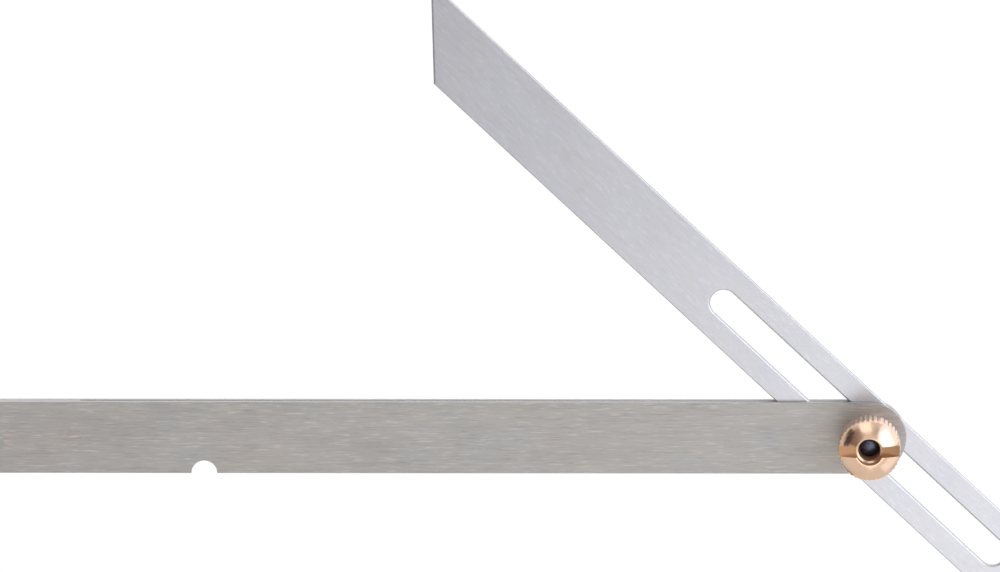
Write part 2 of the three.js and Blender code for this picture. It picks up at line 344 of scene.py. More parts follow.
def smooth(mesh):
    """Smooth shading that leaves the level faces truly flat beside their rounded edges."""
    mesh.shade_smooth()
    mesh.set_sharp_from_angle(angle=SHARP_ANGLE)
    bm = bmesh.new()
    bm.from_mesh(mesh)
    for edge in bm.edges:
        level = [abs(face.normal.z) > LEVEL_NORMAL for face in edge.link_faces]
        if any(level) and not all(level):
            edge.smooth = False
    bm.to_mesh(mesh)
    bm.free()


def new_object(bm, name, materials=()):
    """Makes an object of the scene from the bmesh, which it uses up."""
    mesh = bpy.data.meshes.new(name)
    bm.to_mesh(mesh)
    bm.free()
    for material in materials:
        mesh.materials.append(material)
    made = bpy.data.objects.new(name, mesh)
    bpy.context.scene.collection.objects.link(made)
    return made


def finished(bm, name, materials, body, slot, *nodes):
    """Makes the piece, gives it its finishes, and lets it ride on its body."""
    piece = new_object(bm, name, materials)
    smooth(piece.data)
    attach(piece, body)
    if nodes:
        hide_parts(*nodes)
    return piece


# Finishes

def new_material(name, values=()):
    """A material, with the given values on its shader's own sockets."""
    material = bpy.data.materials.new(name)
    material.use_nodes = True
    tree = material.node_tree
    shader = tree.nodes["Principled BSDF"]
    for key, value in dict(values).items():
        shader.inputs[key].default_value = value
    return material, tree, shader


def node(tree, kind, values=(), **settings):
    """Adds a node, sets its properties and its unlinked inputs."""
    made = tree.nodes.new(kind)
    for key, value in settings.items():
        setattr(made, key, value)
    for key, value in dict(values).items():
        made.inputs[key].default_value = value
    return made


def object_pattern(tree, cell_long, cell_wide, turn=0.0):
    """Object coordinates turned about Z, so that one pattern cell is cell_long by cell_wide."""
    place = node(tree, "ShaderNodeTexCoord")
    aim = node(tree, "ShaderNodeMapping", {
        "Rotation": (0.0, 0.0, turn), "Scale": (cell_long, cell_wide, cell_wide),
    }, vector_type="TEXTURE")
    tree.links.new(place.outputs["Object"], aim.inputs["Vector"])
    return aim.outputs["Vector"]


def noise(tree, vector, detail, roughness=0.5):
    made = node(tree, "ShaderNodeTexNoise", {"Scale": 1.0, "Detail": detail, "Roughness": roughness})
    tree.links.new(vector, made.inputs["Vector"])
    return made.outputs["Fac"]


def remap(tree, value, low, high, stretch=MOST):
    """Turns the given stretch of a noise into values from low to high."""
    made = node(tree, "ShaderNodeMapRange", {
        "From Min": stretch[0], "From Max": stretch[1], "To Min": low, "To Max": high,
    })
    tree.links.new(value, made.inputs["Value"])
    return made.outputs["Result"]


def combine(tree, operation, first, second):
    made = node(tree, "ShaderNodeMath", operation=operation)
    for socket, value in zip(made.inputs, (first, second)):
        if isinstance(value, float):
            socket.default_value = value
        else:
            tree.links.new(value, socket)
    return made.outputs["Value"]


def tinted(tree, shader, colours, share, grey):
    """Mixes two colours by share and multiplies the result by a grey pattern."""
    blend = node(tree, "ShaderNodeMix", data_type="RGBA")
    blend.inputs["A"].default_value = (*colours[0], 1.0)
    blend.inputs["B"].default_value = (*colours[1], 1.0)
    tree.links.new(share, blend.inputs["Factor"])
    mix = node(tree, "ShaderNodeMix", data_type="RGBA", blend_type="MULTIPLY")
    mix.inputs["Factor"].default_value = 1.0
    tree.links.new(blend.outputs["Result"], mix.inputs["A"])
    tree.links.new(grey, mix.inputs["B"])
    tree.links.new(mix.outputs["Result"], shader.inputs["Base Color"])


def varied(colour_value, red, blue):
    """The colour with a little more or less red and blue."""
    return (colour_value[0] * (1.0 + red), colour_value[1], colour_value[2] * (1.0 + blue))


def bumped(tree, shader, height, distance):
    bump = node(tree, "ShaderNodeBump", {"Strength": 1.0, "Distance": distance})
    tree.links.new(height, bump.inputs["Height"])
    tree.links.new(bump.outputs["Normal"], shader.inputs["Normal"])


def spread_gloss(tree, shader, vector):
    """Stretches the gloss along the given object-space direction, as grooves at right angles to it do."""
    turned = node(
        tree, "ShaderNodeVectorTransform", vector_type="VECTOR", convert_from="OBJECT", convert_to="WORLD"
    )
    tree.links.new(vector, turned.inputs["Vector"])
    tree.links.new(turned.outputs["Vector"], shader.inputs["Tangent"])


def brushed_steel(name, steel, streak_length, streak_width, contrast, dash, roughness, smudge,
                  turn=0.0, metallic=1.0, across=None):
    """Stainless plate: fine streaks along one direction, short light dashes, faint smudges and tints.

    contrast, dash and smudge are how much the streaks, dashes and smudges lighten or darken it. turn is
    the streaks' angle from X. across is the direction that the gloss spreads in, which is level and at
    right angles to the streaks if it isn't given.
    """
    material, tree, shader = new_material(name, {"Metallic": metallic, "Anisotropic": 0.35})
    dash_cell = (streak_length * 0.25, streak_width)
    broad_cell = (streak_length * 2.0, streak_width * 12.0)
    cloud_cell = (0.014, 0.009)
    patch_cell = (0.009, 0.007)
    speck_cell = (0.0009, 0.0005)
    broad_contrast = contrast * 0.35
    dark_dash = dash * 0.5
    speck_light = 0.08
    smoothest = roughness - contrast * 0.6
    roughest = roughness + contrast * 0.8
    groove_depth = contrast * 0.00006
    tint = smudge * 0.5
    fine = noise(tree, object_pattern(tree, streak_length, streak_width, turn), detail=3.0, roughness=0.6)
    short = noise(tree, object_pattern(tree, *dash_cell, turn), detail=1.0)
    broad = noise(tree, object_pattern(tree, *broad_cell, turn), detail=3.0)
    cloud = noise(tree, object_pattern(tree, *cloud_cell, turn), detail=2.0)
    patch = noise(tree, object_pattern(tree, *patch_cell, turn), detail=2.0)
    speck = noise(tree, object_pattern(tree, *speck_cell, turn), detail=1.0)
    lines = combine(tree, "ADD", remap(tree, fine, -contrast, contrast),
                    remap(tree, broad, -broad_contrast, broad_contrast))
    dashes = combine(tree, "ADD", remap(tree, short, 0.0, dash, LIGHT_DASHES),
                     remap(tree, short, -dark_dash, 0.0, DARK_DASHES))
    dashes = combine(tree, "ADD", dashes, remap(tree, speck, 0.0, speck_light, SPECKS))
    grey = combine(tree, "ADD", combine(tree, "ADD", lines, dashes),
                   remap(tree, cloud, 1.0 - smudge, 1.0 + smudge))
    colours = (varied(steel, tint, -tint), varied(steel, -tint, tint))
    tinted(tree, shader, colours, remap(tree, patch, 0.0, 1.0, PATCHES), grey)
    tree.links.new(remap(tree, fine, smoothest, roughest), shader.inputs["Roughness"])
    bumped(tree, shader, fine, groove_depth)
    spread = node(tree, "ShaderNodeCombineXYZ")
    for axis, value in zip("XYZ", across or (-math.sin(turn), math.cos(turn), 0.0)):
        spread.inputs[axis].default_value = value
    spread_gloss(tree, shader, spread.outputs["Vector"])
    return material


def turned_metal(name, metal, roughness, rings, contrast, bump, metallic=1.0):
    """Metal finished on a lathe: fine rings round the pivot axis, faint stains and tints.

    rings is how many the pattern has in a metre, and bump is how deep they are.
    """
    material, tree, shader = new_material(name, {"Metallic": metallic, "Anisotropic": 0.6})
    stain_cell = 0.0038
    stain_grey = (0.93, 1.05)
    ring_gloss = (roughness - 0.04, roughness + 0.06)
    stain_gloss = (-0.03, 0.06)
    colours = (varied(metal, 0.02, -0.05), varied(metal, -0.02, 0.05))
    place = node(tree, "ShaderNodeTexCoord")
    split = node(tree, "ShaderNodeSeparateXYZ")
    tree.links.new(place.outputs["Object"], split.inputs["Vector"])
    square = combine(tree, "ADD", combine(tree, "MULTIPLY", split.outputs["X"], split.outputs["X"]),
                     combine(tree, "MULTIPLY", split.outputs["Y"], split.outputs["Y"]))
    radius = combine(tree, "SQRT", square, 0.0)
    joined = node(tree, "ShaderNodeCombineXYZ")
    tree.links.new(combine(tree, "MULTIPLY", radius, rings), joined.inputs["X"])
    tree.links.new(combine(tree, "MULTIPLY", split.outputs["Z"], rings), joined.inputs["Y"])
    turned = noise(tree, joined.outputs["Vector"], detail=4.0, roughness=0.6)
    stain = noise(tree, object_pattern(tree, stain_cell, stain_cell), detail=3.0, roughness=0.55)
    grey = combine(tree, "ADD", remap(tree, turned, -contrast, contrast), remap(tree, stain, *stain_grey))
    tinted(tree, shader, colours, remap(tree, stain, 0.0, 1.0, PATCHES), grey)
    rough = combine(tree, "ADD", remap(tree, turned, *ring_gloss), remap(tree, stain, *stain_gloss, STAINS))
    tree.links.new(rough, shader.inputs["Roughness"])
    bumped(tree, shader, turned, bump)
    outward = node(tree, "ShaderNodeCombineXYZ")
    tree.links.new(split.outputs["X"], outward.inputs["X"])
    tree.links.new(split.outputs["Y"], outward.inputs["Y"])
    spread_gloss(tree, shader, outward.outputs["Vector"])
    return material


def black_oxide(name, oxide):
    """Black finish with a slight blue sheen and rubbed spots."""
    material, tree, shader = new_material(name, {
        "Metallic": 0.9, "Coat Weight": 0.15, "Coat Roughness": 0.22,
    })
    grain_cell = 0.0006
    grain_depth = 0.00005
    rubbed_grey = (0.7, 2.6)
    rubbed_gloss = (0.26, 0.42)
    worn = noise(tree, object_pattern(tree, grain_cell, grain_cell), detail=5.0, roughness=0.6)
    colours = (oxide, varied(oxide, -0.1, 0.3))
    tinted(tree, shader, colours, worn, remap(tree, worn, *rubbed_grey, RUBBED))
    tree.links.new(remap(tree, worn, *rubbed_gloss), shader.inputs["Roughness"])
    bumped(tree, shader, worn, grain_depth)
    return material


# The stock's pieces, each outline traced counterclockwise

# Places of the stock's finishes in its pieces' lists
BRUSHED, GROUND_HIGHLIGHT, MATT_PAINTED_LIGHT = range(3)


def trace_tail(bm, vert, end, half, corner):
    """Goes on from vert along the upper edge and round the tail's two small corners."""
    vert = line_to(bm, vert, end + corner, half)
    vert = arc_to(bm, vert, end + corner, half - corner, QUARTER_TURN, TAIL_CORNER_STEPS)
    vert = line_to(bm, vert, end, corner - half)
    return arc_to(bm, vert, end + corner, corner - half, QUARTER_TURN, TAIL_CORNER_STEPS)


def trace_stock(bm, stock, low, high):
    """The stock seen from above: half round at the pivot, small corners at the tail, and the nail notch."""
    half = high.y
    vert = start(bm, 0.0, -half)
    vert = arc_to(bm, vert, 0.0, 0.0, HALF_TURN, ROUND_END_STEPS)
    vert = trace_tail(bm, vert, low.x, half, stock.tail_corner)
    vert = line_to(bm, vert, -stock.notch_reach - stock.notch_radius, -half)
    vert = arc_to(bm, vert, -stock.notch_reach, -half, -HALF_TURN, NOTCH_STEPS)
    line_to(bm, vert, 0.0, -half)


def rivet_holes(stock):
    """The rivets' two holes, each as x, y and radius."""
    radius = stock.rivet_radius + stock.rivet_gap
    return [(-stock.inner_rivet, 0.0, radius), (-stock.outer_rivet, 0.0, radius)]


def make_cheek(name, low, high, outer_level, inner_level, finishes):
    """A cheek with a brushed outer face, ground walls lightened by a painted highlight, and a matt inner
    face lightened by painted light.
    """
    stock = bpy.context.scene.bevel_stock
    nut = bpy.context.scene.bevel_nut
    holes = rivet_holes(stock)
    bm = bmesh.new()
    trace_stock(bm, stock, low, high)
    for place in holes:
        circle(bm, *place)
    circle(bm, 0.0, 0.0, nut.screw_radius + nut.screw_gap)
    close_and_fill(bm)
    raise_plate(bm, low.z, high.z)
    ease_edges(bm, stock.edge_round, outer_level, chosen=lambda place: all(
        math.hypot(place.x - x, place.y - y) > radius + CLOSE for x, y, radius in holes
    ))
    for face in bm.faces:
        if abs(face.normal.z) < WALL_NORMAL:
            face.material_index = GROUND_HIGHLIGHT
        elif abs(face.calc_center_median().z - inner_level) < TOUCHING:
            face.material_index = MATT_PAINTED_LIGHT
    finished(bm, name + "_brushed", finishes, "stock", "stock_steel", name)


class BEVEL_OT_cheeks(bpy.types.Operator):
    """Make the two brushed cheeks of the stock"""

    bl_idname = "sliding_bevel.cheeks"
    bl_label = "Cheeks"

    def execute(self, context):
        stock = context.scene.bevel_stock
        finishes = (
            brushed_steel(
                "stock_stainless", stock.steel, streak_length=0.014, streak_width=0.00028,
                contrast=0.09, dash=0.25, roughness=0.5, smudge=0.03, metallic=0.7,
            ),
            # Ground walls: lighter steel, partly a painted highlight
            brushed_steel(
                "stock_edges_highlight", stock.edge_steel_with_highlight, streak_length=0.014, streak_width=0.00036,
                contrast=0.08, dash=0.1, roughness=0.4, smudge=0.02, across=(0.0, 0.0, 1.0),
            ),
            # Inner faces: lighter matt steel, partly painted light in the shaded channel
            brushed_steel(
                "stock_inside_painted_light", stock.inside_steel_painted_light, streak_length=0.014, streak_width=0.00036,
                contrast=0.05, dash=0.05, roughness=0.7, smudge=0.02, metallic=0.1,
            ),
        )
        make_cheek("front_cheek", STOCK_LOW, STOCK_HIGH, STOCK_HIGH.z, STOCK_LOW.z, finishes)
        make_cheek("back_cheek", BACK_LOW, BACK_HIGH, BACK_LOW.z, BACK_HIGH.z, finishes)
        return {"FINISHED"}


def make_spacer(stock, finishes):
    """The spacer, whose inner end slants, with brushed faces, and ground walls lightened by a painted
    highlight.
    """
    half = SPACER_HIGH.y
    bm = bmesh.new()
    vert = start(bm, -stock.spacer_reach, half)
    vert = trace_tail(bm, vert, SPACER_LOW.x, half, stock.tail_corner)
    vert = line_to(bm, vert, SPACER_HIGH.x, -half)
    line_to(bm, vert, -stock.spacer_reach, half)
    for place in rivet_holes(stock):
        circle(bm, *place)
    close_and_fill(bm)
    raise_plate(bm, SPACER_LOW.z, SPACER_HIGH.z)
    bm.normal_update()
    for face in bm.faces:
        face.material_index = BRUSHED if abs(face.normal.z) > LEVEL_NORMAL else GROUND_HIGHLIGHT
    finished(bm, "tail_spacer_brushed", finishes, "stock", "stock_steel", "tail_spacer")


class BEVEL_OT_tail(bpy.types.Operator):
    """Make the tail spacer and the two flush rivets, after the cheeks"""

    bl_idname = "sliding_bevel.tail"
    bl_label = "Tail spacer and rivets"

    def execute(self, context):
        stock = context.scene.bevel_stock
        make_spacer(stock, (bpy.data.materials["stock_stainless"], bpy.data.materials["stock_edges_highlight"]))
        rivet_steel = brushed_steel(
            "rivet_stainless", stock.rivet_steel, streak_length=0.014, streak_width=0.00028,
            contrast=0.1, dash=0.3, roughness=0.5, smudge=0.03, turn=0.06, metallic=0.7,
        )
        for side, reach in (("inner", stock.inner_rivet), ("outer", stock.outer_rivet)):
            bm = bmesh.new()
            circle(bm, -reach, 0.0, stock.rivet_radius)
            close_and_fill(bm)
            raise_plate(bm, BACK_LOW.z, STOCK_HIGH.z)
            name = f"rivet_{side}_ground"
            finished(bm, name, [rivet_steel], "stock", "rivet_steel", f"tail_rivet_{side}")
        return {"FINISHED"}


# The blade, traced along X and turned to its angle at the end

def trace_blade(bm, blade, lower, tip):
    """The blade seen from above, its tip at the right. lower is the centre of the slot's lower end."""
    half = blade.width / 2.0
    slot = blade.slot_width / 2.0
    butt = lower - blade.slot_margin
    vert = start(bm, tip, -half)
    vert = line_to(bm, vert, tip - blade.width / math.tan(blade.tip_angle), half)
    vert = line_to(bm, vert, butt + half, half)
    vert = arc_to(bm, vert, butt + half, 0.0, HALF_TURN, ROUND_END_STEPS)
    line_to(bm, vert, tip, -half)
    vert = start(bm, BLADE_TRAVEL, -slot)
    vert = arc_to(bm, vert, BLADE_TRAVEL, 0.0, HALF_TURN, SLOT_END_STEPS)
    vert = line_to(bm, vert, lower, slot)
    vert = arc_to(bm, vert, lower, 0.0, HALF_TURN, SLOT_END_STEPS)
    line_to(bm, vert, BLADE_TRAVEL, -slot)


def grind_tip(bm, blade, tip):
    """A light pass on the grinder bevels the tip's upper edge."""
    away = Vector((math.sin(blade.tip_angle), math.cos(blade.tip_angle), 0.0))
    tilt = blade.tip_bevel_tilt
    ground = bmesh.ops.bisect_plane(
        bm, geom=bm.verts[:] + bm.edges[:] + bm.faces[:], clear_outer=True,
        plane_co=Vector((tip, -blade.width / 2.0, BLADE_HIGH.z)) - away * blade.tip_bevel,
        plane_no=away * math.sin(tilt) + Vector((0.0, 0.0, math.cos(tilt))),
    )
    cut_edges = [item for item in ground["geom_cut"] if isinstance(item, bmesh.types.BMEdge)]
    bmesh.ops.contextual_create(bm, geom=cut_edges)
    bmesh.ops.recalc_face_normals(bm, faces=bm.faces[:])


class BEVEL_OT_blade(bpy.types.Operator):
    """Make the slotted blade"""

    bl_idname = "sliding_bevel.blade"
    bl_label = "Blade"

    def execute(self, context):
        blade = context.scene.bevel_blade
        slot = blade.slot_width / 2.0
        lower = BLADE_TRAVEL - blade.slot_span
        tip = lower - blade.slot_margin + blade.length
        bm = bmesh.new()
        trace_blade(bm, blade, lower, tip)
        close_and_fill(bm)
        raise_plate(bm, BLADE_LOW.z, BLADE_HIGH.z)

        def in_slot(place):
            along = lower - slot - CLOSE < place.x < BLADE_TRAVEL + slot + CLOSE
            return along and abs(place.y) < slot + CLOSE

        ease_edges(bm, blade.slot_round, BLADE_HIGH.z, segments=4, chosen=in_slot)
        ease_edges(bm, blade.edge_round, BLADE_HIGH.z, chosen=lambda place: not in_slot(place))
        ease_edges(bm, blade.lower_round, BLADE_LOW.z, segments=2)
        grind_tip(bm, blade, tip)
        bmesh.ops.translate(bm, verts=bm.verts[:], vec=(0.0, blade.side_shift, 0.0))
        bmesh.ops.rotate(bm, verts=bm.verts[:], matrix=Matrix.Rotation(BLADE_ANGLE, 3, "Z"))
        steel = brushed_steel(
            "blade_satin", blade.steel, streak_length=0.009, streak_width=0.00045,
            contrast=0.03, dash=0.09, roughness=0.32, smudge=0.015, turn=BLADE_ANGLE,
        )
        finished(bm, "blade_satin", [steel], "blade", "blade_steel", "blade")
        return {"FINISHED"}


def screw_profile(nut):
    """The screw's section: flush head, plain shank, thread and domed end, from the head's middle."""
    radius = nut.screw_radius
    pitch = nut.thread_pitch
    head = SCREW_HIGH.x
    top = SCREW_HIGH.z
    dome_height = radius * 0.34
    chamfer = radius * 0.13
    root = radius - pitch * 0.45
    half_crest = pitch * 0.1
    thread_low = NUT_LOW.z
    thread_high = top - dome_height - chamfer
    turns = int((thread_high - thread_low) / pitch)
    points = [(0.0, 0.0), (head, 0.0), (head - BACK_HIGH.z, BACK_HIGH.z), (radius, BACK_HIGH.z)]
    for i in range(turns):
        base = thread_high - (turns - i) * pitch
        points += [
            (radius, base + half_crest), (root, base + pitch / 2.0), (radius, base + pitch - half_crest),
        ]
    points += [(radius, thread_high)]
    points += curve_points(
        0.0, top - dome_height, radius - chamfer, dome_height, 0.0, QUARTER_TURN, SCREW_DOME_STEPS
    )[:-1]
    return points + [(0.0, top)]


class BEVEL_OT_screw(bpy.types.Operator):
    """Make the black clamp screw with its thread and domed end"""

    bl_idname = "sliding_bevel.screw"
    bl_label = "Clamp screw"

    def execute(self, context):
        nut = context.scene.bevel_nut
        bm = bmesh.new()
        revolved(bm, screw_profile(nut), TURNED_STEPS)
        oxide = black_oxide("black_oxide", nut.oxide)
        finished(bm, "clamp_screw_black", [oxide], "stock", "black_screw", "clamp_screw")
        return {"FINISHED"}


class BEVEL_OT_washer(bpy.types.Operator):
    """Make the flat washer under the nut and the bush in the blade's slot"""

    bl_idname = "sliding_bevel.washer"
    bl_label = "Washer and bush"

    def execute(self, context):
        nut = context.scene.bevel_nut
        steel = turned_metal(
            "washer_steel", nut.washer_steel, roughness=0.3, rings=9000.0, contrast=0.05, bump=0.000006
        )
        inner = nut.screw_radius + nut.screw_gap
        ease_share = 0.12
        for name, low, high, body in (
            ("flat_washer", WASHER_LOW, WASHER_HIGH, "washer"),
            ("slot_bush", BUSH_LOW, BUSH_HIGH, "bush"),
        ):
            outer = (high.y - low.y) / 2.0
            ease = (high.z - low.z) * ease_share
            corners = [
                (inner, low.z), (outer - ease, low.z), (outer, low.z + ease),
                (outer, high.z - ease), (outer - ease, high.z), (inner, high.z),
            ]
            bm = bmesh.new()
            revolved(bm, corners, TURNED_STEPS)
            finished(bm, name + "_turned", [steel], body, "plain_steel", name)
        return {"FINISHED"}


# The lock nut

# Places of the nut's finishes in its list
TURNED, MILLED_AND_SHADE, BORED_AND_SHADE, FACED_AND_SHADE = range(4)


def nut_profile(nut):
    """The lock nut's section: neck, rim, dome, lip, recess and bore, from the foot round to the bore."""
    foot = NUT_LOW.z
    mouth = NUT_HIGH.z
    outer = NUT_HIGH.x
    rim_foot = foot + nut.neck_height
    rim_top = rim_foot + nut.rim_height
    flare = outer - nut.rim_round - nut.rim_land - nut.neck_radius
    trumpet = curve_points(
        nut.neck_radius + flare, rim_foot - flare, flare, flare, HALF_TURN, QUARTER_TURN, TRUMPET_STEPS
    )
    rim_edge = curve_points(
        outer - nut.rim_round, rim_foot + nut.rim_round, nut.rim_round, nut.rim_round,
        -QUARTER_TURN, 0.0, RIM_EDGE_STEPS,
    )

    # Three levels between the rim's foot and its top keep the knurl's faces short
    rim_wall = [(outer, rim_foot + nut.rim_height * share) for share in (0.25, 0.5, 0.75)]

    # The dome is a stretch of a ball on the axis that passes through the rim's top and the mouth
    ball = (mouth ** 2 + nut.mouth_radius ** 2 - rim_top ** 2 - outer ** 2) / (2.0 * (mouth - rim_top))
    ball_radius = math.hypot(nut.mouth_radius, mouth - ball)
    dome_from = math.atan2(rim_top - ball, outer)
    dome_to = math.atan2(mouth - ball, nut.mouth_radius)
    dome = curve_points(0.0, ball, ball_radius, ball_radius, dome_from, dome_to, NUT_DOME_STEPS)
    lip = curve_points(
        nut.mouth_radius, mouth - nut.lip_depth, nut.mouth_radius - nut.throat_radius, nut.lip_depth,
        QUARTER_TURN, HALF_TURN, LIP_STEPS,
    )
    shelf = mouth - nut.coin_slot_depth
    recess_floor = mouth - nut.recess_depth
    bore = nut.screw_radius + nut.bore_play
    return [
        (bore, foot), (nut.neck_radius, foot), *trumpet, *rim_edge, *rim_wall, *dome, *lip[1:],
        (nut.throat_radius, shelf), (nut.recess_radius, shelf - nut.shelf_drop),
        (nut.recess_radius, recess_floor), (bore, recess_floor),
    ]


def knurl(bm, nut):
    """Moves each vertex near the rim in by the teeth's wave, which fades out over the dome."""
    outer = NUT_HIGH.x
    rim_foot = NUT_LOW.z + nut.neck_height
    fade = nut.knurl_depth * 2.2
    # Below 1, this power makes the grooves wide and the teeth narrow
    narrowing = 0.7
    for vert in bm.verts:
        radius = math.hypot(vert.co.x, vert.co.y)
        if vert.co.z < rim_foot - TOUCHING or radius < outer - fade:
            continue
        wave = 0.5 - 0.5 * math.cos(nut.knurl_teeth * math.atan2(vert.co.y, vert.co.x))
        limit = min(radius, outer - nut.knurl_depth * wave ** narrowing)
        vert.co.x *= limit / radius
        vert.co.y *= limit / radius


def cut_coin_slot(piece, nut):
    """Cuts the coin slot with a disc, so that its floor sinks a little towards the middle.

    The slot's walls keep the turned finish, and its floor gets the milled one, darkened by painted shade.
    """
    bm = bmesh.new()
    disc = nut.coin_slot_cutter
    bmesh.ops.create_cone(
        bm, cap_ends=True, segments=CUTTER_STEPS, radius1=disc, radius2=disc, depth=nut.coin_slot_width,
        matrix=Matrix.Rotation(QUARTER_TURN, 4, "X"),
    )
    sag = disc - math.sqrt(disc ** 2 - nut.mouth_radius ** 2)
    floor = NUT_HIGH.z - nut.coin_slot_depth - sag
    bmesh.ops.translate(bm, verts=bm.verts[:], vec=(0.0, 0.0, floor + disc))
    for face in bm.faces:
        face.material_index = TURNED if abs(face.normal.y) > LEVEL_NORMAL else MILLED_AND_SHADE
    cutter = new_object(bm, "coin_slot_cutter", piece.data.materials)
    cut = piece.modifiers.new("coin_slot", "BOOLEAN")
    cut.operation = "DIFFERENCE"
    cut.solver = "EXACT"
    cut.object = cutter
    bpy.context.view_layer.objects.active = piece
    bpy.ops.object.modifier_apply(modifier=cut.name)
    bpy.data.objects.remove(cutter)
    smooth(piece.data)


class BEVEL_OT_lock_nut(bpy.types.Operator):
    """Make the knurled brass lock nut with its coin slot and recess"""

    bl_idname = "sliding_bevel.lock_nut"
    bl_label = "Lock nut"

    def execute(self, context):
        nut = context.scene.bevel_nut
        finishes = [
            turned_metal(
                "turned_brass", nut.brass, roughness=0.14, rings=5200.0, contrast=0.03, bump=0.000003
            ),
            # Coin slot floor: darker brass, partly painted shade
            turned_metal(
                "milled_brass_and_shade", nut.milled_brass_and_shade, roughness=0.34, rings=2600.0, contrast=0.06, bump=0.000006
            ),
            # Recess walls and shelf: darker brass, partly painted shade
            turned_metal(
                "bored_brass_and_shade", nut.bored_brass_and_shade, roughness=0.55, rings=3000.0, contrast=0.1, bump=0.000006,
                metallic=0.25,
            ),
            turned_metal(
                "faced_brass_and_shade", nut.faced_brass_and_shade, roughness=0.2, rings=3000.0, contrast=0.06, bump=0.000006
            ),
        ]
        bm = bmesh.new()
        revolved(bm, nut_profile(nut), nut.knurl_teeth * TOOTH_STEPS)
        knurl(bm, nut)

        # In the recess, the walls are bored and the rest is faced, both in darker brass that is partly
        # painted shade
        for face in bm.faces:
            middle = face.calc_center_median()
            if math.hypot(middle.x, middle.y) < nut.throat_radius and middle.z > NUT_LOW.z:
                face.material_index = BORED_AND_SHADE if abs(face.normal.z) < WALL_NORMAL else FACED_AND_SHADE
        piece = finished(bm, "lock_nut_brass", finishes, "nut", "brass", "lock_nut")
        cut_coin_slot(piece, nut)
        return {"FINISHED"}


# The stage

def aimed_at_nut(azimuth, elevation, distance):
    """Matrix of a card that faces the lock nut from the given direction, in degrees and metres."""
    across = math.radians(azimuth)
    rise = math.radians(elevation)
    away = Vector((math.cos(across) * math.cos(rise), math.sin(across) * math.cos(rise), math.sin(rise)))
    nut = Vector((0.0, 0.0, NUT_HIGH.z))
    return Matrix.Translation(nut + away * distance) @ away.to_track_quat("Z", "Y").to_matrix().to_4x4()


def softbox(name, azimuth, elevation, distance, width, height, brightness, tint=(1.0, 1.0, 1.0)):
    """A glowing card. Brightness is its radiance, so the power grows with its area."""
    light = bpy.data.lights.new(name, "AREA")
    light.shape = "RECTANGLE"
    light.size = width
    light.size_y = height
    light.energy = brightness * math.pi * width * height
    light.color = tint
    lamp = bpy.data.objects.new(name, light)
    lamp.matrix_world = aimed_at_nut(azimuth, elevation, distance)
    lamp.visible_camera = False
    bpy.context.scene.collection.objects.link(lamp)


def dark_card(name, azimuth, elevation, distance, width, height, shade, tint=(1.0, 1.0, 1.0)):
    """A matt grey card that only shows in the metal, scaled from a square metre."""
    bm = bmesh.new()
    bmesh.ops.create_grid(bm, x_segments=1, y_segments=1, size=0.5)
    bmesh.ops.scale(bm, verts=bm.verts[:], vec=(width, height, 1.0))
    bmesh.ops.transform(bm, verts=bm.verts[:], matrix=aimed_at_nut(azimuth, elevation, distance))
    material, _, _ = new_material(name, {"Base Color": (*(Vector(tint) * shade), 1.0), "Roughness": 0.9})
    card = new_object(bm, name, [material])
    card.visible_camera = False
    card.visible_shadow = False


def level_sheet(name, height, white, glow_colour, glow):
    """A large matt sheet of the stage, which gives back a share of the light and glows by itself."""
    half_width = 6.0
    bm = bmesh.new()
    bmesh.ops.create_grid(bm, x_segments=1, y_segments=1, size=half_width)
    bmesh.ops.translate(bm, verts=bm.verts[:], vec=(0.0, 0.0, height))
    material, _, _ = new_material(name, {
        "Base Color": (white, white, white, 1.0), "Roughness": 1.0, "Specular IOR Level": 0.0,
        "Emission Color": (*glow_colour, 1.0), "Emission Strength": glow,
    })
    sheet = new_object(bm, name, [material])
    return sheet


def lay_floor(studio):
    """The floor that the camera sees, and just over it a matt table that lights the metal from below."""
    back = PACKED_BOX[0].z
    floor = level_sheet("floor", back - studio.floor_gap, 0.0, studio.floor, studio.floor_glow)
    floor.visible_diffuse = False
    floor.visible_glossy = False
    table = level_sheet(
        "table", back - studio.table_gap, studio.table_white, studio.floor, studio.table_glow
    )
    table.visible_camera = False


def place_cards():
    """The softboxes and grey cards round the nut, each where the metal mirrors it in the photograph."""
    softbox("near_softbox", azimuth=-45.0, elevation=67.5, distance=0.76, width=1.0, height=0.5,
            brightness=0.8)
    softbox("top_card", azimuth=102.0, elevation=50.0, distance=1.0, width=0.4, height=0.4,
            brightness=0.75)
    softbox("back_card", azimuth=48.0, elevation=11.0, distance=1.5, width=3.0, height=0.46, brightness=1.4,
            tint=(1.1, 1.0, 0.75))
    softbox("right_card", azimuth=19.0, elevation=52.0, distance=2.0, width=1.1, height=0.7, brightness=1.2,
            tint=(0.85, 0.95, 1.15))
    softbox("right_halo", azimuth=25.0, elevation=46.0, distance=2.1, width=1.8, height=1.4, brightness=0.7,
            tint=(0.75, 0.92, 1.3))
    softbox("low_right_card", azimuth=-42.0, elevation=33.0, distance=1.2, width=0.8, height=0.4,
            brightness=0.45, tint=(0.8, 1.0, 1.3))
    dark_card("left_card", azimuth=163.0, elevation=43.5, distance=1.0, width=0.68, height=0.24,
              shade=0.03)
    dark_card("upper_left_card", azimuth=150.0, elevation=57.0, distance=1.05, width=0.68, height=0.46,
              shade=0.2, tint=(1.2, 0.9, 0.8))
    dark_card("left_sky_card", azimuth=205.0, elevation=70.0, distance=1.1, width=0.5, height=0.36,
              shade=0.25)
    dark_card("upper_right_card", azimuth=64.0, elevation=56.0, distance=1.1, width=0.2, height=0.4,
              shade=0.5)
    dark_card("low_card", azimuth=210.0, elevation=9.0, distance=0.8, width=1.1, height=0.26, shade=0.1)


